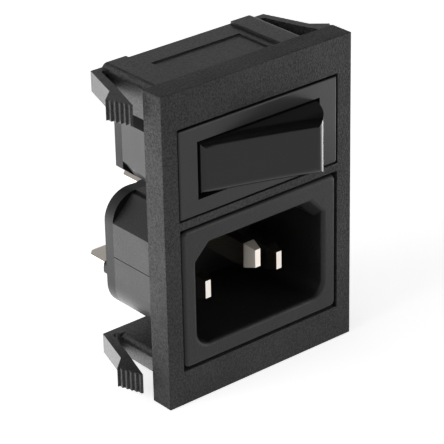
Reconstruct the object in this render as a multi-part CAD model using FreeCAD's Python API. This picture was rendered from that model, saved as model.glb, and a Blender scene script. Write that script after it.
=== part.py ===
import FreeCAD, Part
import math
import os

V = FreeCAD.Vector
os.makedirs("parts", exist_ok=True)

# The origin is the centre of the bezel's rear face, which meets the panel.
# X runs along the bezel's width, Y to the rear, Z up.

# Inlet cavity, the standard size that the rest is built round
CAVITY_W = 24.6
CAVITY_H = 16.5
CAVITY_DEPTH = 17.0
CAVITY_CUT = 3.75        # 45 degree top corners
MOUTH_CUT = 2.1          # the same corners at the mouth, where they are cut less
MOUTH_D = 2.0            # depth at which they reach their full size
CAVITY_LOW_R = 2.35
LIP_R = 0.7

# Inlet housing
SHROUD_SIDE = 1.5        # walls round the cavity
SHROUD_ROOF = 1.6
SHROUD_FLOOR = 1.05
SHROUD_REAR = 1.0
SHROUD_LOW_R = 4.5
SHROUD_CUT = 3.82        # 45 degree top corners
PLATEAU_IN = 4.6         # raised middle of the roof starts this far in from the side
PLATEAU_RISE = 0.35
FLANGE_T = 2.0           # both inserts' flanges, sunk flush with the bezel's face
INLET_LAP_X = 2.725      # the flange reaches this far past the cavity
INLET_LAP_TOP = 3.2
INLET_LAP_LOW = 2.9
INLET_FLANGE_R = 1.1
INLET_EDGE_R = 0.7
SEAM_RISE = 9.65         # side seam above the shroud's floor
SEAM_L = 10.0
SEAM_W = 0.12

# Inlet rear cover
COVER_T = 2.0
COVER_R = 4.5
COVER_WALL = 0.7
BOSS_W = 8.0
BOSS_H = 2.1
BOSS_L = 4.6             # behind the cover

# Inlet contact pins and tabs
PIN_W = 2.0
PIN_H = 4.0
PIN_TAPER = 2.0
PIN_END_W = 1.0
PIN_END_H = 2.9
PIN_PITCH = 14.0         # line to neutral
LINE_DROP = 2.0          # line and neutral pins below the cavity's centre
EARTH_RISE = 4.0         # earth above the line and neutral pins
LINE_DEPTH = 4.05        # bezel's face to the tips
EARTH_DEPTH = 0.8
TAB_W = 6.3
TAB_T = 0.8
TAB_CUT = 1.0
TAB_L = 10.0             # behind the cover
TAB_HOLE_R = 0.8
TAB_HOLE_D = 3.2         # hole to the tab's end
TAB_DROP = 5.0           # line and neutral tabs below the cavity's centre
EARTH_TAB_RISE = 6.5     # earth tab above the cavity's centre
LINK_T = 1.0
PIN_GAP = 0.05

# Bezel: rails round the two flanges
BEZEL_T = 4.0
SIDE_RAIL = 2.9
TOP_RAIL = 6.2
MIDDLE_RAIL = 1.85
LOW_RAIL = 5.75
EDGE_R = 0.15            # faint rounding of the bezel's front edges
FLANGE_GAP = 0.2         # round a flange in its rebate
HEADROOM = 0.2           # extra gap above each flange
BODY_GAP = 0.15          # round an insert's body in its opening

# Shelves: an inverted U above the switch and another below the inlet
SKIRT_D = 14.1
SKIRT_WALL = 1.4
SKIRT_R = 1.0            # outer top corners of the shelves
CHEEK_IN = 3.5           # cheeks in from the bezel's sides
TOP_SHELF_IN = 1.8       # top shelf below the bezel's top edge
TOP_CHEEK_H = 5.4
LOW_SHELF_IN = 5.0       # low shelf above the bezel's bottom edge
LOW_CHEEK_H = 3.3
PAD_W = 4.5              # raised rails along the top shelf
PAD_RISE = 0.35
PANEL_IN = 6.1           # sunk panel in from the cheeks
PANEL_D = 10.2
PANEL_SINK = 0.2

# Folded latches, plan points outwards from the cheek and back from the bezel
LATCH_H = 3.2
LATCH_IN = 0.2           # upper latches below the top shelf
HEEL = (2.0, SKIRT_D)
KNEE = (4.5, 6.4)
NOSE = (6.8, 4.35)
TIP = (5.45, 0.5)
TIP_IN = (5.1, 0.3)
ARM_MIDDLE = (2.6, 7.6)
SLOT_R = 0.6
SLOT_END = 1.2           # slot's end to the rear of the skirt
TEETH = 5
TOOTH_DEPTH = 0.35

# Rocker, described upright about its pivot and then tilted to its rest
PIVOT_DEPTH = 3.05       # behind the bezel's face
REST_TILT = 19.2
ROCKER_R = 11.3          # end faces are arcs about the pivot
ROCKER_H = 8.7
FACE_MID = 6.15          # pivot to the middle of the finger face
FACE_END = 6.4           # pivot line to the ends of the finger face
FACE_WALL = 1.3
ROCKER_END_WALL = 1.0
ROCKER_SIDE_WALL = 0.9
SKIRT_ANGLE = 8.0        # end faces run this far behind the pivot
FACE_LONG_R = 1.3
FACE_END_R = 1.2
TRUNNION_R = 1.3
TRUNNION_END = 0.15      # short of the housing's outer face
RUNNING_GAP = 0.05
LEG_HALF_W = 1.5
LEG_HALF_H = 3.6
LEG_L = 3.0

# Switch housing
WINDOW_GAP_X = 0.4       # round the rocker in its window
WINDOW_GAP_Z = 0.2
WINDOW_RIM_X = 3.4       # flange round the window
WINDOW_RIM_Z = 2.45
SWITCH_CORNER_R = 0.2
SWITCH_EDGE_R = 0.3
BODY_IN_X = 0.9          # body in from the flange
BODY_IN_Z = 1.35
BODY_CUT_X = 2.2         # corner chamfers of the body and its base
BODY_CUT_Z = 1.8
LOW_CUT_Z = 0.9          # lower chamfers of the body at the flange
LOW_GROW_Z = 2.2         # their growth towards the rear
END_WALL = 1.0
SIDE_WALL = 0.9
CUT_STEP = 0.6           # inner chamfers are smaller by this
BODY_L = 12.3
BASE_T = 1.7
PLUG_D = 1.0             # the base reaches this far into the housing
PLUG_GAP = 0.1
BARRIER_T = 0.8
BARRIER_L = 5.1

# Plungers and their springs, along the rocker's leg
POLE_Z = 2.3             # each pole's distance from the switch's middle
PLUNGER_R = 0.8
PLUNGER_TIP = 4.6
PLUNGER_BACK = 0.9
BORE_END = 3.4
SPRING_R = 0.52
SPRING_WIRE = 0.16
SPRING_TURNS = 4
SPRING_L = 3.7

# Contact levers, described level about their own pivot and then tilted
LEVER_TILT = 6.0
NOSE_GAP = 0.2           # plunger to lever, rocker upright
LEVER_AXIS_D = 1.2       # lever's front face to its pivot
LEVER_T = 0.5
LEVER_W = 1.8
LEVER_DIP_X = 2.2
LEVER_DIP = 0.47
LEVER_SHORT = 3.6
LEVER_TAIL = 1.2         # past the contact
KNUCKLE_HALF_W = 1.15
KNUCKLE_D = 0.2
FULCRUM_R = 0.5
FULCRUM_GAP = 0.1

# Contact rivets
CONTACT_X = 7.4
CONTACT_R = 0.95
CONTACT_RIM = 0.3
CONTACT_CROWN = 0.27
CROWN_R = 0.55
SHANK_R = 0.5
TAIL_R = 0.75
TAIL_T = 0.25
SHANK_GAP = 0.02
CONTACT_GAP = 0.15       # drawn apart where they meet in use

# Switch terminals
BLADE_Z = 3.0            # blade's distance from the switch's middle
BLADE_W = 4.8
BLADE_T = 0.8
BLADE_L = 8.0            # behind the base
FOOT_T = 0.7
FOOT_W = 3.8
FOOT_IN_Z = 1.2
NECK_HALF_W = 0.42
SLOT_GAP = 0.08

# Places that follow from the sizes
FRONT_Y = -BEZEL_T
SEAT_Y = FRONT_Y + FLANGE_T
WINDOW_W = 2 * (ROCKER_R + WINDOW_GAP_X)
WINDOW_H = ROCKER_H + 2 * WINDOW_GAP_Z
SWITCH_FLANGE_W = WINDOW_W + 2 * WINDOW_RIM_X
SWITCH_FLANGE_H = WINDOW_H + 2 * WINDOW_RIM_Z
BODY_HALF_W = SWITCH_FLANGE_W / 2 - BODY_IN_X
BODY_HALF_H = SWITCH_FLANGE_H / 2 - BODY_IN_Z
INLET_FLANGE_W = CAVITY_W + 2 * INLET_LAP_X
INLET_FLANGE_H = CAVITY_H + INLET_LAP_TOP + INLET_LAP_LOW
BEZEL_W = max(INLET_FLANGE_W, SWITCH_FLANGE_W) + 2 * SIDE_RAIL
BEZEL_H = TOP_RAIL + SWITCH_FLANGE_H + MIDDLE_RAIL + INLET_FLANGE_H + LOW_RAIL
SWITCH_Z = BEZEL_H / 2 - TOP_RAIL - SWITCH_FLANGE_H / 2
INLET_LOW_Z = LOW_RAIL - BEZEL_H / 2
CAVITY_Z = INLET_LOW_Z + INLET_LAP_LOW + CAVITY_H / 2
CAVITY_TOP_Z = CAVITY_Z + CAVITY_H / 2
CAVITY_LOW_Z = CAVITY_Z - CAVITY_H / 2
CAVITY_END_Y = FRONT_Y + CAVITY_DEPTH
SHROUD_HALF_W = CAVITY_W / 2 + SHROUD_SIDE
SHROUD_TOP_Z = CAVITY_TOP_Z + SHROUD_ROOF
SHROUD_LOW_Z = CAVITY_LOW_Z - SHROUD_FLOOR
SHROUD_END_Y = CAVITY_END_Y + SHROUD_REAR
COVER_END_Y = SHROUD_END_Y + COVER_T
CHEEK_X = BEZEL_W / 2 - CHEEK_IN
TOP_SHELF_Z = BEZEL_H / 2 - TOP_SHELF_IN
LOW_SHELF_Z = LOW_SHELF_IN - BEZEL_H / 2
PIVOT_Y = FRONT_Y + PIVOT_DEPTH
BODY_END_Y = SEAT_Y + BODY_L
BASE_END_Y = BODY_END_Y + BASE_T
LEVER_Y = PIVOT_Y + PLUNGER_TIP + NOSE_GAP + LEVER_AXIS_D


def plate_y(points, y0, y1):
    """Solid whose outline, given as (x, z) points, runs from y0 to y1."""
    corners = [V(x, y0, z) for x, z in points]
    face = Part.Face(Part.makePolygon(corners + corners[:1]))
    return face.extrude(V(0, y1 - y0, 0))


def plate_z(points, z0, z1):
    """Solid whose outline, given as (x, y) points, runs from z0 to z1."""
    corners = [V(x, y, z0) for x, y in points]
    face = Part.Face(Part.makePolygon(corners + corners[:1]))
    return face.extrude(V(0, 0, z1 - z0))


def rectangle(x0, x1, z0, z1):
    return [(x0, z0), (x1, z0), (x1, z1), (x0, z1)]


def round_edges(shape, radius, wanted):
    """Rounds the edges for which wanted(edge) holds."""
    edges = [edge for edge in shape.Edges if wanted(edge)]
    return shape.makeFillet(radius, edges)


def along(edge, axis):
    """True for a straight edge along the axis, 0, 1 or 2."""
    if not isinstance(edge.Curve, Part.Line):
        return False
    way = edge.Vertexes[0].Point - edge.Vertexes[-1].Point
    return abs(abs(way[axis]) - way.Length) < 1e-6


def at_y(edge, y):
    """True for an edge that lies in the plane at y."""
    box = edge.BoundBox
    return abs(box.YMin - y) < 1e-5 and abs(box.YMax - y) < 1e-5


def rounded_plate(half_w, z0, z1, radius, y0, y1):
    plate = plate_y(rectangle(-half_w, half_w, z0, z1), y0, y1)
    return round_edges(plate, radius, lambda edge: along(edge, 1))


def mirrored_x(shape):
    return shape.mirror(V(0, 0, 0), V(1, 0, 0))


def lower_pole(shape):
    return shape.mirror(V(0, 0, SWITCH_Z), V(0, 0, 1))


def tilted(shape, x, y, angle):
    """Turns a shape about the upright axis through x, y."""
    turned = shape.copy()
    turned.rotate(V(x, y, 0), V(0, 0, 1), angle)
    return turned


# ---------------------------------------------------------------- frame

def shelf(top_z, cheek_h, pad_rise):
    """Inverted U: a level shelf with a cheek at each end and a raised rail above each cheek."""
    low_z = top_z - cheek_h
    high_z = top_z + pad_rise
    outer = plate_y(rectangle(-CHEEK_X, CHEEK_X, low_z, high_z), 0, SKIRT_D)
    outer = round_edges(outer, SKIRT_R, lambda e: along(e, 1) and e.BoundBox.ZMax > high_z - 0.1)
    inner_x = CHEEK_X - SKIRT_WALL
    pad_x = CHEEK_X - PAD_W
    under = plate_y(rectangle(-inner_x, inner_x, low_z, top_z - SKIRT_WALL), 0, SKIRT_D)
    above = plate_y(rectangle(-pad_x, pad_x, top_z, top_z + SKIRT_R), 0, SKIRT_D)
    return outer.cut([under, above])


def ratchet():
    """Plan points of the toothed face, from the nose to the tip."""
    points = []
    for i in range(TEETH):
        here = i / TEETH
        x = NOSE[0] + (TIP[0] - NOSE[0]) * here
        y = NOSE[1] + (TIP[1] - NOSE[1]) * here
        points.append((x, y))
        points.append((x - TOOTH_DEPTH, y - TOOTH_DEPTH / 3))
    return points + [TIP]


def latch(top_z):
    """Folded arm on the +X side: it leaves the cheek at the rear and runs forward."""
    slot_y = SKIRT_D - SLOT_END - SLOT_R
    plan = [(-SKIRT_WALL, SKIRT_D), HEEL, KNEE] + ratchet() + [TIP_IN, ARM_MIDDLE]
    plan += [(2 * SLOT_R, slot_y), (0, slot_y), (-SKIRT_WALL, slot_y)]
    arm = plate_z([(CHEEK_X + x, y) for x, y in plan], top_z - LATCH_H, top_z)
    slot = Part.makeCylinder(SLOT_R, LATCH_H, V(CHEEK_X + SLOT_R, slot_y, top_z - LATCH_H))
    return arm.cut(slot)


def panel_frame():
    plate = plate_y(rectangle(-BEZEL_W / 2, BEZEL_W / 2, -BEZEL_H / 2, BEZEL_H / 2), FRONT_Y, 0)
    plate = round_edges(plate, EDGE_R, lambda edge: at_y(edge, FRONT_Y) or along(edge, 1))
    frame = plate.fuse([shelf(TOP_SHELF_Z, TOP_CHEEK_H, PAD_RISE), shelf(LOW_SHELF_Z, LOW_CHEEK_H, 0)])
    for top_z in (TOP_SHELF_Z - LATCH_IN, LOW_SHELF_Z):
        frame = frame.fuse([latch(top_z), mirrored_x(latch(top_z))])
    panel_x = CHEEK_X - PANEL_IN
    sunk_panel = plate_y(rectangle(-panel_x, panel_x, TOP_SHELF_Z - PANEL_SINK, TOP_SHELF_Z), 0, PANEL_D)

    half_w = SWITCH_FLANGE_W / 2 + FLANGE_GAP
    half_h = SWITCH_FLANGE_H / 2 + FLANGE_GAP
    switch_rebate = plate_y(rectangle(-half_w, half_w, SWITCH_Z - half_h, SWITCH_Z + half_h + HEADROOM),
                            FRONT_Y, SEAT_Y)
    half_w = INLET_FLANGE_W / 2 + FLANGE_GAP
    top_z = INLET_LOW_Z + INLET_FLANGE_H + FLANGE_GAP + HEADROOM
    inlet_rebate = plate_y(rectangle(-half_w, half_w, INLET_LOW_Z - FLANGE_GAP, top_z), FRONT_Y, SEAT_Y)
    openings = [switch_block(BODY_GAP, SEAT_Y, 0), shroud(BODY_GAP, SEAT_Y, 0)]
    return frame.cut([sunk_panel, switch_rebate, inlet_rebate] + openings).removeSplitter()


# ---------------------------------------------------------------- switch

def body_outline(y, grow, step, low_z):
    """Outline of the switch body at depth y, larger by grow, with lower chamfers low_z high."""
    half_w = BODY_HALF_W + grow[0]
    half_h = BODY_HALF_H + grow[1]
    cut_x = BODY_CUT_X - step
    cut_z = BODY_CUT_Z - step
    right = [(half_w - cut_x, -half_h), (half_w, low_z - half_h)]
    right += [(half_w, half_h - cut_z), (half_w - cut_x, half_h)]
    corners = right + [(-x, z) for x, z in reversed(right)]
    points = [V(x, y, SWITCH_Z + z) for x, z in corners]
    return Part.makePolygon(points + points[:1])


def low_cut(y):
    """Height of the body's lower chamfers at depth y."""
    return LOW_CUT_Z + LOW_GROW_Z * max(0.0, y - SEAT_Y) / BODY_L


def switch_block(gap, y0, y1):
    """Outside of the switch body between two depths, larger by gap all round."""
    ends = [body_outline(y, (gap, gap), 0, low_cut(y)) for y in (y0, y1)]
    return Part.makeLoft(ends, True, True)


def switch_cavity(y0, y1, gap):
    """Inside of the switch body between two depths, smaller by gap all round."""
    inset = (-END_WALL - gap, -SIDE_WALL - gap)
    ends = [body_outline(y, inset, CUT_STEP, low_cut(y) - CUT_STEP / 2) for y in (y0, y1)]
    return Part.makeLoft(ends, True, True)


def switch_housing():
    flange = rounded_plate(SWITCH_FLANGE_W / 2, SWITCH_Z - SWITCH_FLANGE_H / 2, SWITCH_Z + SWITCH_FLANGE_H / 2,
                           SWITCH_CORNER_R, FRONT_Y, SEAT_Y)
    flange = round_edges(flange, SWITCH_EDGE_R, lambda edge: at_y(edge, FRONT_Y))
    body = switch_block(0, SEAT_Y, BODY_END_Y)
    window = plate_y(rectangle(-WINDOW_W / 2, WINDOW_W / 2, SWITCH_Z - WINDOW_H / 2, SWITCH_Z + WINDOW_H / 2),
                     FRONT_Y, SEAT_Y)
    cavity = switch_cavity(SEAT_Y, BODY_END_Y, 0)
    pivot = Part.makeCylinder(TRUNNION_R + RUNNING_GAP, 2 * BODY_HALF_H, V(0, PIVOT_Y, SWITCH_Z - BODY_HALF_H))
    return flange.fuse(body).cut([window, cavity, pivot]).removeSplitter()


def blade_slot(x):
    """Hole through the base for one blade of the upper pole."""
    half_w = BLADE_W / 2 + SLOT_GAP
    half_t = BLADE_T / 2 + SLOT_GAP
    z = SWITCH_Z + BLADE_Z
    return plate_y(rectangle(x - half_w, x + half_w, z - half_t, z + half_t), BODY_END_Y - PLUG_D, BASE_END_Y)


def switch_base():
    cover = Part.Face(body_outline(BODY_END_Y, (0, 0), 0, BODY_CUT_Z)).extrude(V(0, BASE_T, 0))
    plug = switch_cavity(BODY_END_Y - PLUG_D, BODY_END_Y, PLUG_GAP)
    inner_x = BODY_HALF_W - END_WALL - PLUG_GAP
    rib = plate_y(rectangle(-inner_x, inner_x, SWITCH_Z - BARRIER_T / 2, SWITCH_Z + BARRIER_T / 2),
                  BODY_END_Y - BARRIER_L, BODY_END_Y)
    slots = [blade_slot(0), blade_slot(CONTACT_X)]
    slots += [lower_pole(slot) for slot in slots]
    return cover.fuse([plug, rib]).cut(slots).removeSplitter()


def rocker_plan(radius, face_mid, face_end, y_back):
    """Face in plan about the pivot: concave front, end arcs about the pivot, flat back."""
    front_x = math.sqrt(radius ** 2 - face_end ** 2)
    back_x = math.sqrt(radius ** 2 - y_back ** 2)
    front = Part.Arc(V(-front_x, -face_end, 0), V(0, -face_mid, 0), V(front_x, -face_end, 0)).toShape()
    right = Part.Arc(V(front_x, -face_end, 0), V(radius, 0, 0), V(back_x, y_back, 0)).toShape()
    left = Part.Arc(V(-back_x, y_back, 0), V(-radius, 0, 0), V(-front_x, -face_end, 0)).toShape()
    back = Part.makeLine(V(back_x, y_back, 0), V(-back_x, y_back, 0))
    return Part.Face(Part.Wire([front, right, back, left]))


def on_pivot(shape):
    """Moves a shape drawn about the pivot into place and tilts it to its rest."""
    moved = shape.copy()
    moved.translate(V(0, PIVOT_Y, SWITCH_Z))
    return tilted(moved, 0, PIVOT_Y, -REST_TILT)


def rocker_section():
    """Body whose long front edges are rounded and follow the hollow of the finger face."""
    front_x = math.sqrt(ROCKER_R ** 2 - FACE_END ** 2)
    sag = FACE_END - FACE_MID
    hollow_r = (front_x ** 2 + sag ** 2) / (2 * sag)
    hub = V(0, -FACE_MID - hollow_r, 0)
    section = plate_x_section(-FACE_MID, ROCKER_R, ROCKER_H / 2, FACE_LONG_R)
    sweep = math.degrees(ROCKER_R / hollow_r) + 1
    section.rotate(hub, V(0, 0, 1), -sweep)
    return section.revolve(hub, V(0, 0, 1), 2 * sweep)


def plate_x_section(y0, y1, half_h, radius):
    """Upright face in the plane X = 0 with its two front corners rounded."""
    cut = radius * (1 - math.sqrt(0.5))
    arc = Part.Arc(V(0, y0, half_h - radius), V(0, y0 + cut, half_h - cut), V(0, y0 + radius, half_h))
    top = arc.toShape()
    low = top.mirror(V(0, 0, 0), V(0, 0, 1))
    edges = [top, Part.makeLine(V(0, y0 + radius, half_h), V(0, y1, half_h)),
             Part.makeLine(V(0, y1, half_h), V(0, y1, -half_h)),
             Part.makeLine(V(0, y1, -half_h), V(0, y0 + radius, -half_h)), low,
             Part.makeLine(V(0, y0, radius - half_h), V(0, y0, half_h - radius))]
    return Part.Face(Part.Wire(edges))


def rocker():
    y_back = ROCKER_R * math.sin(math.radians(SKIRT_ANGLE))
    half_h = ROCKER_H / 2
    solid = rocker_plan(ROCKER_R, FACE_MID, FACE_END, y_back).extrude(V(0, 0, ROCKER_H))
    solid.translate(V(0, 0, -half_h))
    solid = round_edges(solid, FACE_END_R, lambda e: along(e, 2) and e.BoundBox.YMax < 0)
    solid = solid.common(rocker_section())
    inner_h = half_h - ROCKER_SIDE_WALL
    pockets = rocker_plan(ROCKER_R - ROCKER_END_WALL, FACE_MID - FACE_WALL, FACE_END - FACE_WALL, y_back)
    pockets = pockets.extrude(V(0, 0, 2 * inner_h))
    pockets.translate(V(0, 0, -inner_h))
    pockets = pockets.cut(plate_y(rectangle(-LEG_HALF_W, LEG_HALF_W, -half_h, half_h), -ROCKER_R, ROCKER_R))
    leg = plate_y(rectangle(-LEG_HALF_W, LEG_HALF_W, -LEG_HALF_H, LEG_HALF_H), 0, LEG_L)
    trunnion_z = BODY_HALF_H - TRUNNION_END
    root_z = half_h - ROCKER_SIDE_WALL / 2
    trunnion = Part.makeCylinder(TRUNNION_R, trunnion_z - root_z, V(0, 0, root_z))
    solid = solid.cut(pockets).fuse([leg, trunnion, trunnion.mirror(V(0, 0, 0), V(0, 0, 1))])
    bores = [Part.makeCylinder(PLUNGER_R + RUNNING_GAP, BORE_END + LEG_L, V(0, -BORE_END, z), V(0, 1, 0))
             for z in (-POLE_Z, POLE_Z)]
    return on_pivot(solid.cut(bores).removeSplitter())


def plunger():
    """Ball-nosed pin of the upper pole."""
    centre = V(0, PLUNGER_TIP - PLUNGER_R, POLE_Z)
    stem = Part.makeCylinder(PLUNGER_R, centre.y - PLUNGER_BACK, V(0, PLUNGER_BACK, POLE_Z), V(0, 1, 0))
    return on_pivot(stem.fuse(Part.makeSphere(PLUNGER_R, centre)).removeSplitter())


def plunger_spring():
    """Coil of the upper pole, seated in the bottom of its bore."""
    height = SPRING_L - 2 * SPRING_WIRE
    helix = Part.makeHelix(height / SPRING_TURNS, height, SPRING_R)
    corners = [math.radians(60 * i) for i in range(7)]
    section = Part.makePolygon([V(SPRING_R + SPRING_WIRE * math.cos(a), 0, SPRING_WIRE * math.sin(a))
                                for a in corners])
    coil = Part.Wire(helix).makePipeShell([section], True, True)
    coil.rotate(V(0, 0, 0), V(1, 0, 0), -90)
    coil.translate(V(0, SPRING_WIRE - BORE_END + SPRING_WIRE / 4, POLE_Z))
    return on_pivot(coil)


def on_lever(shape):
    """Moves a shape drawn about the upper lever's pivot into place and tilts it to its rest."""
    moved = shape.copy()
    moved.translate(V(0, LEVER_Y, SWITCH_Z + POLE_Z))
    return tilted(moved, 0, LEVER_Y, LEVER_TILT)


def contact_lever():
    front = -LEVER_AXIS_D
    bent = front - LEVER_DIP
    face = [(-LEVER_SHORT, bent), (-LEVER_DIP_X, bent), (0, front), (LEVER_DIP_X, bent),
            (CONTACT_X + LEVER_TAIL, bent)]
    strip = plate_z(face + [(x, y + LEVER_T) for x, y in reversed(face)], -LEVER_W / 2, LEVER_W / 2)
    knuckle = plate_z(rectangle(-KNUCKLE_HALF_W, KNUCKLE_HALF_W, front + LEVER_T / 2, KNUCKLE_D),
                      -LEVER_W / 2, LEVER_W / 2)
    groove = Part.makeCylinder(FULCRUM_R + FULCRUM_GAP, LEVER_W, V(0, 0, -LEVER_W / 2))
    mouth = plate_z(rectangle(-FULCRUM_R - FULCRUM_GAP, FULCRUM_R + FULCRUM_GAP, 0, KNUCKLE_D),
                    -LEVER_W / 2, LEVER_W / 2)
    hole = Part.makeCylinder(SHANK_R + SHANK_GAP, LEVER_T, V(CONTACT_X, bent, 0), V(0, 1, 0))
    return on_lever(strip.fuse(knuckle).cut([groove, mouth, hole]).removeSplitter())


def rivet(grip, tail_t):
    """Contact rivet about the origin: head towards +Y, shank towards -Y, no tail where tail_t is 0."""
    crown_y = CONTACT_RIM + CONTACT_CROWN
    tail = [(0, -grip - tail_t), (TAIL_R, -grip - tail_t), (TAIL_R, -grip)] if tail_t else [(0, -grip)]
    shank = [(SHANK_R, -grip), (SHANK_R, 0)]
    head = [(CONTACT_R, 0), (CONTACT_R, CONTACT_RIM), (CROWN_R, crown_y), (0, crown_y)]
    profile = [V(x, y, 0) for x, y in tail + shank + head]
    return Part.Face(Part.makePolygon(profile + profile[:1])).revolve(V(0, 0, 0), V(0, 1, 0), 360)


def moving_contact():
    head = rivet(LEVER_T, TAIL_T)
    head.translate(V(CONTACT_X, LEVER_T - LEVER_AXIS_D - LEVER_DIP, 0))
    return on_lever(head)


def contact_y():
    """Depth of the moving contact's crown with the lever at rest."""
    crown = LEVER_T - LEVER_AXIS_D - LEVER_DIP + CONTACT_RIM + CONTACT_CROWN
    turn = math.radians(LEVER_TILT)
    return LEVER_Y + CONTACT_X * math.sin(turn) + crown * math.cos(turn)


def foot_y():
    """Front face of both terminals' feet."""
    return contact_y() + CONTACT_GAP + CONTACT_RIM + CONTACT_CROWN


def fixed_contact():
    head = rivet(FOOT_T, 0)
    head.rotate(V(0, 0, 0), V(0, 0, 1), 180)
    head.translate(V(CONTACT_X, foot_y(), SWITCH_Z + POLE_Z))
    return head


def tab_plan(x, half_w, y0, y1, neck_half_w, neck_y):
    """Blade in plan: narrow at the front, full width behind neck_y, cut corners at its end."""
    right = [(neck_half_w, y0), (neck_half_w, neck_y), (half_w, neck_y)]
    right += [(half_w, y1 - TAB_CUT), (half_w - TAB_CUT, y1)]
    return [(x + a, b) for a, b in right] + [(x - a, b) for a, b in reversed(right)]


def switch_terminal(x):
    """Blade and bent foot of the upper pole."""
    z = SWITCH_Z + BLADE_Z
    end_y = BASE_END_Y + BLADE_L
    plan = tab_plan(x, BLADE_W / 2, foot_y(), end_y, FOOT_W / 2, BODY_END_Y - PLUG_D)
    blade = plate_z(plan, z - BLADE_T / 2, z + BLADE_T / 2)
    foot = plate_y(rectangle(x - FOOT_W / 2, x + FOOT_W / 2, SWITCH_Z + FOOT_IN_Z, z + BLADE_T / 2),
                   foot_y(), foot_y() + FOOT_T)
    hole = Part.makeCylinder(TAB_HOLE_R, BLADE_T, V(x, end_y - TAB_HOLE_D, z - BLADE_T / 2))
    bent = blade.fuse(foot).cut(hole).removeSplitter()
    return round_edges(bent, FOOT_T, lambda e: along(e, 0) and at_y(e, foot_y()) and e.BoundBox.ZMin > z)


def load_terminal():
    hole = Part.makeCylinder(SHANK_R + SHANK_GAP, FOOT_T, V(CONTACT_X, foot_y(), SWITCH_Z + POLE_Z), V(0, 1, 0))
    return switch_terminal(CONTACT_X).cut(hole)


def common_terminal():
    low_z = SWITCH_Z + FOOT_IN_Z
    height = 2 * (POLE_Z - FOOT_IN_Z)
    tip = Part.makeCylinder(FULCRUM_R, height, V(0, LEVER_Y, low_z))
    neck = plate_z(rectangle(-NECK_HALF_W, NECK_HALF_W, LEVER_Y, foot_y() + FOOT_T / 2), low_z, low_z + height)
    return switch_terminal(0).fuse([tip, neck]).removeSplitter()


# ---------------------------------------------------------------- inlet

def shroud(grow, y0, y1):
    """Outer block of the inlet between two depths, larger by grow all round."""
    half_w = SHROUD_HALF_W + grow
    top_z = SHROUD_TOP_Z + grow
    cut = SHROUD_CUT + grow * (2 - math.sqrt(2))
    right = [(half_w, SHROUD_LOW_Z - grow), (half_w, top_z - cut), (half_w - cut, top_z)]
    block = plate_y(right + [(-x, z) for x, z in reversed(right)], y0, y1)
    block = round_edges(block, SHROUD_LOW_R + grow, lambda e: along(e, 1) and e.BoundBox.ZMax < CAVITY_LOW_Z)
    plateau_x = SHROUD_HALF_W - PLATEAU_IN + grow
    plateau = plate_y(rectangle(-plateau_x, plateau_x, CAVITY_TOP_Z, top_z + PLATEAU_RISE), y0, y1)
    return block.fuse(plateau)


def pin_places():
    """The three contacts: name, x, pin height, tab height, tip depth."""
    half = PIN_PITCH / 2
    line_z = CAVITY_Z - LINE_DROP
    tab_z = CAVITY_Z - TAB_DROP
    return [("line_terminal", -half, line_z, tab_z, FRONT_Y + LINE_DEPTH),
            ("neutral_terminal", half, line_z, tab_z, FRONT_Y + LINE_DEPTH),
            ("earth_terminal", 0, line_z + EARTH_RISE, CAVITY_Z + EARTH_TAB_RISE, FRONT_Y + EARTH_DEPTH)]


def cavity_outline(y, cut):
    """Six-sided outline of the cavity at depth y, its top corners cut at 45 degrees."""
    half_w = CAVITY_W / 2
    right = [(half_w, CAVITY_LOW_Z), (half_w, CAVITY_TOP_Z - cut), (half_w - cut, CAVITY_TOP_Z)]
    points = [V(x, y, z) for x, z in right + [(-x, z) for x, z in reversed(right)]]
    return Part.makePolygon(points + points[:1])


def inlet_cavity():
    full_y = FRONT_Y + MOUTH_D
    mouth = Part.makeLoft([cavity_outline(FRONT_Y, MOUTH_CUT), cavity_outline(full_y, CAVITY_CUT)], True, True)
    deep = Part.Face(cavity_outline(full_y, CAVITY_CUT)).extrude(V(0, CAVITY_END_Y - full_y, 0))
    cavity = mouth.fuse(deep).removeSplitter()
    return round_edges(cavity, CAVITY_LOW_R, lambda e: along(e, 1) and e.BoundBox.ZMax < CAVITY_LOW_Z + 0.1)


def inlet_housing():
    half_w = INLET_FLANGE_W / 2
    flange = rounded_plate(half_w, INLET_LOW_Z, INLET_LOW_Z + INLET_FLANGE_H, INLET_FLANGE_R, FRONT_Y, SEAT_Y)
    flange = round_edges(flange, INLET_EDGE_R, lambda edge: at_y(edge, FRONT_Y))
    housing = flange.fuse(shroud(0, SEAT_Y, SHROUD_END_Y)).cut(inlet_cavity())
    lip_x = CAVITY_W / 2 + LIP_R
    lip_z = CAVITY_H / 2 + LIP_R
    housing = round_edges(housing, LIP_R, lambda e: at_y(e, FRONT_Y) and abs(e.CenterOfMass.x) < lip_x
                          and abs(e.CenterOfMass.z - CAVITY_Z) < lip_z)
    holes = []
    for name, x, pin_z, tab_z, tip_y in pin_places():
        half_w = PIN_W / 2 + PIN_GAP
        half_h = PIN_H / 2 + PIN_GAP
        holes.append(plate_y(rectangle(x - half_w, x + half_w, pin_z - half_h, pin_z + half_h),
                             CAVITY_END_Y - SHROUD_REAR, SHROUD_END_Y))
    seam_z = SHROUD_LOW_Z + SEAM_RISE
    seam = plate_y(rectangle(SHROUD_HALF_W - SEAM_W, SHROUD_HALF_W, seam_z - SEAM_W / 2, seam_z + SEAM_W / 2),
                   SHROUD_END_Y - SEAM_L, SHROUD_END_Y)
    return housing.cut(holes + [seam, mirrored_x(seam)]).removeSplitter()


def link_outline(x, pin_z, tab_z, gap):
    """Upright plate that joins a pin to its tab."""
    ends = [pin_z - PIN_H / 2, pin_z + PIN_H / 2, tab_z - TAB_T / 2, tab_z + TAB_T / 2]
    return rectangle(x - PIN_W / 2 - gap, x + PIN_W / 2 + gap, min(ends) - gap, max(ends) + gap)


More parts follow.
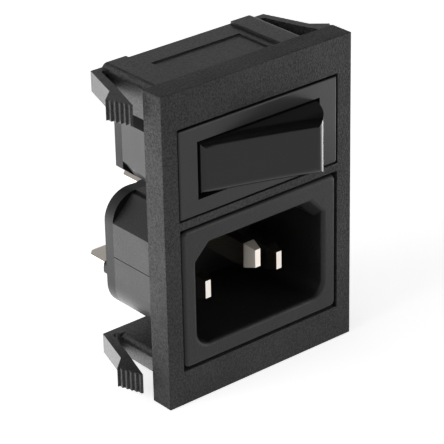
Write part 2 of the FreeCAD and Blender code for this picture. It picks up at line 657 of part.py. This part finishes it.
def inlet_rear_cover():
    cover = rounded_plate(SHROUD_HALF_W, SHROUD_LOW_Z, SHROUD_TOP_Z + PLATEAU_RISE, COVER_R,
                          SHROUD_END_Y, COVER_END_Y)
    cuts = []
    for name, x, pin_z, tab_z, tip_y in pin_places():
        boss = plate_y(rectangle(x - BOSS_W / 2, x + BOSS_W / 2, tab_z - BOSS_H / 2, tab_z + BOSS_H / 2),
                       SHROUD_END_Y, COVER_END_Y + BOSS_L)
        cover = cover.fuse(round_edges(boss, BOSS_H / 4, lambda edge: along(edge, 1)))
        cuts.append(plate_y(link_outline(x, pin_z, tab_z, PIN_GAP), SHROUD_END_Y, COVER_END_Y - COVER_WALL))
        half_w = TAB_W / 2 + PIN_GAP
        half_t = TAB_T / 2 + PIN_GAP
        cuts.append(plate_y(rectangle(x - half_w, x + half_w, tab_z - half_t, tab_z + half_t),
                            SHROUD_END_Y, COVER_END_Y + BOSS_L))
    return cover.cut(cuts).removeSplitter()


def pin_section(x, z, y, width, height):
    corners = [V(a, y, b) for a, b in rectangle(x - width / 2, x + width / 2, z - height / 2, z + height / 2)]
    return Part.makePolygon(corners + corners[:1])


def inlet_terminal(x, pin_z, tab_z, tip_y):
    """Contact pin, joggle and rear tab in one piece."""
    full_y = tip_y + PIN_TAPER
    link_y = SHROUD_END_Y + LINK_T
    taper = Part.makeLoft([pin_section(x, pin_z, tip_y, PIN_END_W, PIN_END_H),
                           pin_section(x, pin_z, full_y, PIN_W, PIN_H)], True, True)
    shaft = Part.makeLoft([pin_section(x, pin_z, full_y, PIN_W, PIN_H),
                           pin_section(x, pin_z, link_y, PIN_W, PIN_H)], True, True)
    link = plate_y(link_outline(x, pin_z, tab_z, 0), SHROUD_END_Y, link_y)
    end_y = COVER_END_Y + TAB_L
    plan = tab_plan(x, TAB_W / 2, SHROUD_END_Y, end_y, TAB_W / 2, link_y)
    tab = plate_z(plan, tab_z - TAB_T / 2, tab_z + TAB_T / 2)
    hole = Part.makeCylinder(TAB_HOLE_R, TAB_T, V(x, end_y - TAB_HOLE_D, tab_z - TAB_T / 2))
    return taper.fuse([shaft, link, tab]).cut(hole).removeSplitter()


# ---------------------------------------------------------------- build

pieces = {
    "panel_frame": panel_frame(),
    "switch_housing": switch_housing(),
    "switch_base": switch_base(),
    "rocker": rocker(),
    "inlet_housing": inlet_housing(),
    "inlet_rear_cover": inlet_rear_cover(),
}
for name, x, pin_z, tab_z, tip_y in pin_places():
    pieces[name] = inlet_terminal(x, pin_z, tab_z, tip_y)
for name, shape in (("plunger", plunger()), ("plunger_spring", plunger_spring()),
                    ("contact_lever", contact_lever()), ("moving_contact", moving_contact()),
                    ("fixed_contact", fixed_contact()), ("common_terminal", common_terminal()),
                    ("load_terminal", load_terminal())):
    pieces[name + "_upper"] = shape
    pieces[name + "_lower"] = lower_pole(shape)
for name, shape in pieces.items():
    shape.exportStep("parts/" + name + ".step")
    print(name, shape.isValid(), len(shape.Solids), round(shape.Volume, 2))
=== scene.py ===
import bpy
import math
from mathutils import Matrix, Vector


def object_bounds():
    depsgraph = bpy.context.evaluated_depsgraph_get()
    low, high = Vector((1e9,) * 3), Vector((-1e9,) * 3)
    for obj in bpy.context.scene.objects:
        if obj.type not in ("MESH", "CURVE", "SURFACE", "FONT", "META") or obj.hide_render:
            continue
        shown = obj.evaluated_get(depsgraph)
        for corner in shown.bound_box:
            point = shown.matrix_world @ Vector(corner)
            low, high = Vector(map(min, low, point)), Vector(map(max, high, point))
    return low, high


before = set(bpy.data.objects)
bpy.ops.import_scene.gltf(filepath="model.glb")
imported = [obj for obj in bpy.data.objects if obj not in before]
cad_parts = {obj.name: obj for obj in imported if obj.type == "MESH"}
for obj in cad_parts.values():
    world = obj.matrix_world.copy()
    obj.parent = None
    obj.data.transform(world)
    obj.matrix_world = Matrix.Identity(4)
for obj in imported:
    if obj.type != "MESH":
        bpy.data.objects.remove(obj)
cad_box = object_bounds()
bpy.context.scene.view_settings.view_transform = "Standard"

# Floor: a wide sheet of pale studio board just below the module, and the same white
# all round above it. Both belong to the studio, not to the module.
BOARD_HALF = 1.5
BOARD_GAP = 0.00002
BOARD_GLOW = 0.72
ROOM_FILL = 0.5


def looked_at(tree):
    """1 where a surface is looked at, straight, mirrored or through glass; 0 where it gives light."""
    path = tree.nodes.new("ShaderNodeLightPath")
    seen = path.outputs["Is Camera Ray"]
    for ray in ("Is Glossy Ray", "Is Transmission Ray"):
        either = tree.nodes.new("ShaderNodeMath")
        either.operation = "MAXIMUM"
        tree.links.new(seen, either.inputs[0])
        tree.links.new(path.outputs[ray], either.inputs[1])
        seen = either.outputs[0]
    return seen


def white_light(tree, strength):
    """White light from all round, for the room."""
    light = tree.nodes.new("ShaderNodeBackground")
    light.inputs["Color"].default_value = (1, 1, 1, 1)
    light.inputs["Strength"].default_value = strength
    return light.outputs[0]


bpy.ops.object.select_all(action="DESELECT")
bpy.ops.mesh.primitive_plane_add(size=2 * BOARD_HALF, location=(0, 0, cad_box[0][2] - BOARD_GAP))
board = bpy.context.active_object
board.name = "studio_board"
board_paper = bpy.data.materials.new("board_paper")
board_paper.use_nodes = True
tree = board_paper.node_tree
paper = tree.nodes["Principled BSDF"]
paper.inputs["Base Color"].default_value = (0.9, 0.9, 0.9, 1)
paper.inputs["Roughness"].default_value = 0.9
paper.inputs["Specular IOR Level"].default_value = 0.1
lift = tree.nodes.new("ShaderNodeMath")
lift.operation = "MULTIPLY"
lift.inputs[1].default_value = BOARD_GLOW
tree.links.new(looked_at(tree), lift.inputs[0])
glow = tree.nodes.new("ShaderNodeEmission")
tree.links.new(lift.outputs[0], glow.inputs["Strength"])
both = tree.nodes.new("ShaderNodeAddShader")
tree.links.new(paper.outputs[0], both.inputs[0])
tree.links.new(glow.outputs[0], both.inputs[1])
tree.links.new(both.outputs[0], tree.nodes["Material Output"].inputs["Surface"])
board.data.materials.append(board_paper)

world = bpy.data.worlds.new("studio_white")
bpy.context.scene.world = world
world.use_nodes = True
tree = world.node_tree
tree.nodes.clear()
choice = tree.nodes.new("ShaderNodeMixShader")
tree.links.new(looked_at(tree), choice.inputs[0])
tree.links.new(white_light(tree, ROOM_FILL), choice.inputs[1])
tree.links.new(white_light(tree, 1.0), choice.inputs[2])
sky = tree.nodes.new("ShaderNodeOutputWorld")
tree.links.new(choice.outputs[0], sky.inputs["Surface"])

# Lamps: a soft box on the left, a weaker one in front on the right, and two light tables
# on the floor that shine up along the sides, one behind on the left and one on the right.
TABLE_Z = cad_box[0][2] + 0.0005


def soft_box(name, place, aim, watts, width):
    """Square lamp, turned to its aim and unseen by the camera."""
    data = bpy.data.lights.new(name, "AREA")
    data.energy = watts
    data.shape = "SQUARE"
    data.size = width
    lamp = bpy.data.objects.new(name, data)
    bpy.context.collection.objects.link(lamp)
    lamp.location = place
    lamp.rotation_euler = (Vector(aim) - Vector(place)).to_track_quat("-Z", "Y").to_euler()
    lamp.visible_camera = False


def light_table(name, x, y, watts, width):
    """Soft box that lies on the floor and faces up."""
    soft_box(name, (x, y, TABLE_Z), (x, y, 1), watts, width)


soft_box("left", place=(-0.50, 0.05, 0.20), aim=(0, 0, 0), watts=1.1, width=0.30)
soft_box("front_right", place=(0.36, -0.40, 0.08), aim=(0, 0, 0), watts=0.75, width=0.25)
light_table("light_table_left", x=-0.218, y=0.215, watts=1.4, width=0.42)
light_table("light_table_right", x=0.15, y=0.0, watts=0.25, width=0.16)

# Flags: matt black boards behind on the right, in front and overhead, unseen by the
# camera. They keep light and reflections of the white room off the black faces.
flag_black = bpy.data.materials.new("flag_black")
flag_black.use_nodes = True
felt = flag_black.node_tree.nodes["Principled BSDF"]
felt.inputs["Base Color"].default_value = (0.01, 0.01, 0.01, 1)
felt.inputs["Roughness"].default_value = 1.0
felt.inputs["Specular IOR Level"].default_value = 0.0


def flag(name, place, width):
    """Square black board that faces the module."""
    bpy.ops.object.select_all(action="DESELECT")
    turn = (-Vector(place)).to_track_quat("Z", "Y").to_euler()
    bpy.ops.mesh.primitive_plane_add(size=width, location=place, rotation=turn)
    board = bpy.context.active_object
    bpy.ops.object.transform_apply(location=True, rotation=True, scale=True)
    board.name = name
    board.visible_camera = False
    board.data.materials.append(flag_black)


flag("flag_back_right", place=(0.27, 0.32, 0.46), width=0.55)
flag("flag_front", place=(0.02, -0.66, 0.27), width=0.56)
flag("flag_over", place=(0.04, -0.04, 0.52), width=0.80)

# Camera: a long lens, in front of the module on its left, above it, and rolled by a degree.
# Its axis passes about 6 mm to the left of the middle of the bezel's face.
AZIMUTH = math.radians(-39.53)
ELEVATION = math.radians(26.48)
ROLL = math.radians(-1.19)
LENS_MM = 191.17
AIM_RIGHT = -0.005724
AIM_UP = -0.000002
DISTANCE = 0.34745
BEZEL_FRONT_Y = -0.004
away = Vector((math.sin(AZIMUTH) * math.cos(ELEVATION),
               -math.cos(AZIMUTH) * math.cos(ELEVATION),
               math.sin(ELEVATION)))
level = Vector((0, 0, 1)).cross(away).normalized()
upright = away.cross(level)
right = math.cos(ROLL) * level + math.sin(ROLL) * upright
up = math.cos(ROLL) * upright - math.sin(ROLL) * level
camera_data = bpy.data.cameras.new("studio_camera")
camera_data.lens = LENS_MM
camera_data.sensor_width = 36
camera_data.clip_start = 0.01
camera = bpy.data.objects.new("studio_camera", camera_data)
bpy.context.collection.objects.link(camera)
place = Vector((0, BEZEL_FRONT_Y, 0)) + AIM_RIGHT * right + AIM_UP * up + DISTANCE * away
turn = Matrix((right, up, away)).transposed().to_4x4()
camera.matrix_world = Matrix.Translation(place) @ turn
bpy.context.scene.camera = camera

# Panel frame: one black nylon moulding, bezel, shelves and folded latches together. The
# bezel has the even grain of a spark-eroded tool. The shelves and latches behind it are
# nearly smooth and have more sheen.
PANEL_FACE_Y = 0.0001
FINISH_EDGE = 0.0002


def noise(tree, place, per_m, detail, roughness=0.5):
    """Soft noise over the given coordinates."""
    texture = tree.nodes.new("ShaderNodeTexNoise")
    texture.inputs["Scale"].default_value = per_m
    texture.inputs["Detail"].default_value = detail
    texture.inputs["Roughness"].default_value = roughness
    tree.links.new(place, texture.inputs["Vector"])
    return texture.outputs["Fac"]


def spread(tree, value, low, high, to_low=0.0, to_high=1.0):
    """The stretch of a value from low to high, made to run from to_low to to_high."""
    span = tree.nodes.new("ShaderNodeMapRange")
    span.inputs["From Min"].default_value = low
    span.inputs["From Max"].default_value = high
    span.inputs["To Min"].default_value = to_low
    span.inputs["To Max"].default_value = to_high
    tree.links.new(value, span.inputs["Value"])
    return span.outputs["Result"]


def tint(tree, share, colour, shade):
    """Base colour, from colour to shade by the share."""
    mix = tree.nodes.new("ShaderNodeMix")
    mix.data_type = "RGBA"
    mix.inputs["A"].default_value = (*colour, 1)
    mix.inputs["B"].default_value = (*shade, 1)
    tree.links.new(share, mix.inputs["Factor"])
    tree.links.new(mix.outputs["Result"], tree.nodes["Principled BSDF"].inputs["Base Color"])


def polish(tree, value, roughness, give):
    """Roughness that the value moves up and down by the give."""
    varied = spread(tree, value, 0.3, 0.7, roughness - give, roughness + give)
    tree.links.new(varied, tree.nodes["Principled BSDF"].inputs["Roughness"])


def relief(tree, height, depth):
    """Bump of the given depth, in metres."""
    bump = tree.nodes.new("ShaderNodeBump")
    bump.inputs["Strength"].default_value = 1.0
    bump.inputs["Distance"].default_value = depth
    tree.links.new(height, bump.inputs["Height"])
    tree.links.new(bump.outputs["Normal"], tree.nodes["Principled BSDF"].inputs["Normal"])


def moulded_plastic(name, colour, shade, roughness, grain_per_m, grain_depth, gloss):
    """Black moulding: fine tool grain, with slow changes of roughness over it."""
    material = bpy.data.materials.new(name)
    material.use_nodes = True
    tree = material.node_tree
    tree.nodes["Principled BSDF"].inputs["Specular IOR Level"].default_value = gloss
    place = tree.nodes.new("ShaderNodeTexCoord").outputs["Object"]
    flow = noise(tree, place, per_m=110, detail=3)
    grain = noise(tree, place, per_m=grain_per_m, detail=4, roughness=0.6)
    tint(tree, spread(tree, grain, 0.38, 0.62), colour, shade)
    polish(tree, flow, roughness, give=0.06)
    relief(tree, grain, grain_depth)
    return material


def finish_behind(material, depth, roughness, relief_left):
    """Behind the given depth the surface has this roughness and keeps this share of its relief."""
    tree = material.node_tree
    shader = tree.nodes["Principled BSDF"]
    axes = tree.nodes.new("ShaderNodeSeparateXYZ")
    tree.links.new(tree.nodes.new("ShaderNodeTexCoord").outputs["Object"], axes.inputs["Vector"])
    behind = spread(tree, axes.outputs["Y"], depth, depth + FINISH_EDGE)
    change = tree.nodes.new("ShaderNodeMix")
    tree.links.new(behind, change.inputs["Factor"])
    tree.links.new(shader.inputs["Roughness"].links[0].from_socket, change.inputs["A"])
    change.inputs["B"].default_value = roughness
    tree.links.new(change.outputs["Result"], shader.inputs["Roughness"])
    bump = shader.inputs["Normal"].links[0].from_node
    tree.links.new(spread(tree, behind, 0.0, 1.0, 1.0, relief_left), bump.inputs["Strength"])
    return material


def dress(material, *names):
    """Puts a material in every slot of the named parts."""
    for name in names:
        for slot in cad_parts[name].material_slots:
            slot.material = material


nylon = moulded_plastic("spark_eroded_nylon", colour=(0.004, 0.004, 0.004), shade=(0.047, 0.046, 0.047),
                        roughness=0.66, grain_per_m=3300, grain_depth=0.00034, gloss=0.35)
dress(finish_behind(nylon, PANEL_FACE_Y, roughness=0.42, relief_left=0.08), "panel_frame")

# Switch housing: the flange that surrounds the rocker's window and the box-shaped body
# behind it, moulded in one. Black thermoplastic with a smooth satin finish.
dress(moulded_plastic("satin_switch_plastic", colour=(0.011, 0.011, 0.012), shade=(0.014, 0.014, 0.015),
                      roughness=0.38, grain_per_m=2600, grain_depth=0.000004, gloss=0.35),
      "switch_housing")

# Switch base and inlet rear cover: the closings at the back, which the blades and the
# tabs come out through. Plain black mouldings, duller than the two housings.
dress(moulded_plastic("base_plastic", colour=(0.009, 0.009, 0.009), shade=(0.012, 0.012, 0.012),
                      roughness=0.5, grain_per_m=3000, grain_depth=0.00001, gloss=0.20),
      "switch_base", "inlet_rear_cover")

# Rocker: a hollow cap with a slightly dished finger face, moulded in one with its
# trunnions and the leg that holds the plungers. The smoothest black of the module.
dress(moulded_plastic("rocker_satin", colour=(0.007, 0.007, 0.008), shade=(0.008, 0.008, 0.009),
                      roughness=0.22, grain_per_m=3000, grain_depth=0.000001, gloss=0.32),
      "rocker")

# Inlet housing: the flange and the shroud round the keyed cavity, moulded in one of
# black plastic. Its grain is much fainter than the bezel's.
dress(moulded_plastic("inlet_satin", colour=(0.009, 0.009, 0.009), shade=(0.015, 0.0145, 0.014),
                      roughness=0.46, grain_per_m=3600, grain_depth=0.00006, gloss=0.31),
      "inlet_housing")

# Contact pins and tabs: nickel-plated brass, each pin and its tab one stamping. The front
# of the earth pin, which reaches further forward than the others, is dull; the rest of
# the pins is polished, and the tabs at the back are dull again.
EARTH_TIP_Y = -0.0012
TAB_Y = 0.0135


def plated_metal(name, colour, shade, roughness, line_per_m, depth):
    """Metal with fine lines along Y, and soft changes of tone and polish."""
    material = bpy.data.materials.new(name)
    material.use_nodes = True
    tree = material.node_tree
    tree.nodes["Principled BSDF"].inputs["Metallic"].default_value = 1.0
    place = tree.nodes.new("ShaderNodeTexCoord").outputs["Object"]
    stretch = tree.nodes.new("ShaderNodeMapping")
    stretch.inputs["Scale"].default_value = (line_per_m, line_per_m / 25, line_per_m)
    tree.links.new(place, stretch.inputs["Vector"])
    lines = noise(tree, stretch.outputs["Vector"], per_m=1.0, detail=3)
    tint(tree, noise(tree, place, per_m=350, detail=2), colour, shade)
    polish(tree, lines, roughness, give=0.07)
    relief(tree, lines, depth)
    return material


nickel = plated_metal("nickel_plate", colour=(0.88, 0.82, 0.75), shade=(0.79, 0.73, 0.66),
                      roughness=0.55, line_per_m=9000, depth=0.0000005)
nickel = finish_behind(nickel, EARTH_TIP_Y, roughness=0.16, relief_left=1.0)
nickel = finish_behind(nickel, TAB_Y, roughness=0.50, relief_left=1.0)
dress(nickel, "line_terminal", "neutral_terminal", "earth_terminal")

# Switch terminals: tinned brass strip. Each is a blade behind the base, bent to a foot
# inside the housing.
dress(plated_metal("tinned_strip", colour=(0.86, 0.86, 0.84), shade=(0.76, 0.76, 0.74),
                   roughness=0.42, line_per_m=9000, depth=0.000002),
      "common_terminal_upper", "common_terminal_lower", "load_terminal_upper", "load_terminal_lower")

# Contact levers and plungers: bare brass, the levers pressed from strip and the plungers
# turned from rod. The levers rock on the common terminals, pushed by the plungers' noses.
dress(plated_metal("bare_brass", colour=(0.80, 0.60, 0.33), shade=(0.68, 0.49, 0.26),
                   roughness=0.30, line_per_m=9000, depth=0.000004),
      "contact_lever_upper", "contact_lever_lower", "plunger_upper", "plunger_lower")

# Contact rivets: heads of silver alloy on the levers and on the load terminals, slightly
# dulled. They close the circuit where they meet.
dress(plated_metal("contact_silver", colour=(0.88, 0.87, 0.84), shade=(0.72, 0.71, 0.69),
                   roughness=0.28, line_per_m=6000, depth=0.000003),
      "moving_contact_upper", "moving_contact_lower", "fixed_contact_upper", "fixed_contact_lower")

# Plunger springs: coiled from drawn steel wire. Each sits in the rocker's leg and presses
# its plunger on the lever.
dress(plated_metal("spring_wire", colour=(0.60, 0.60, 0.60), shade=(0.46, 0.46, 0.46),
                   roughness=0.32, line_per_m=9000, depth=0.000003),
      "plunger_spring_upper", "plunger_spring_lower")
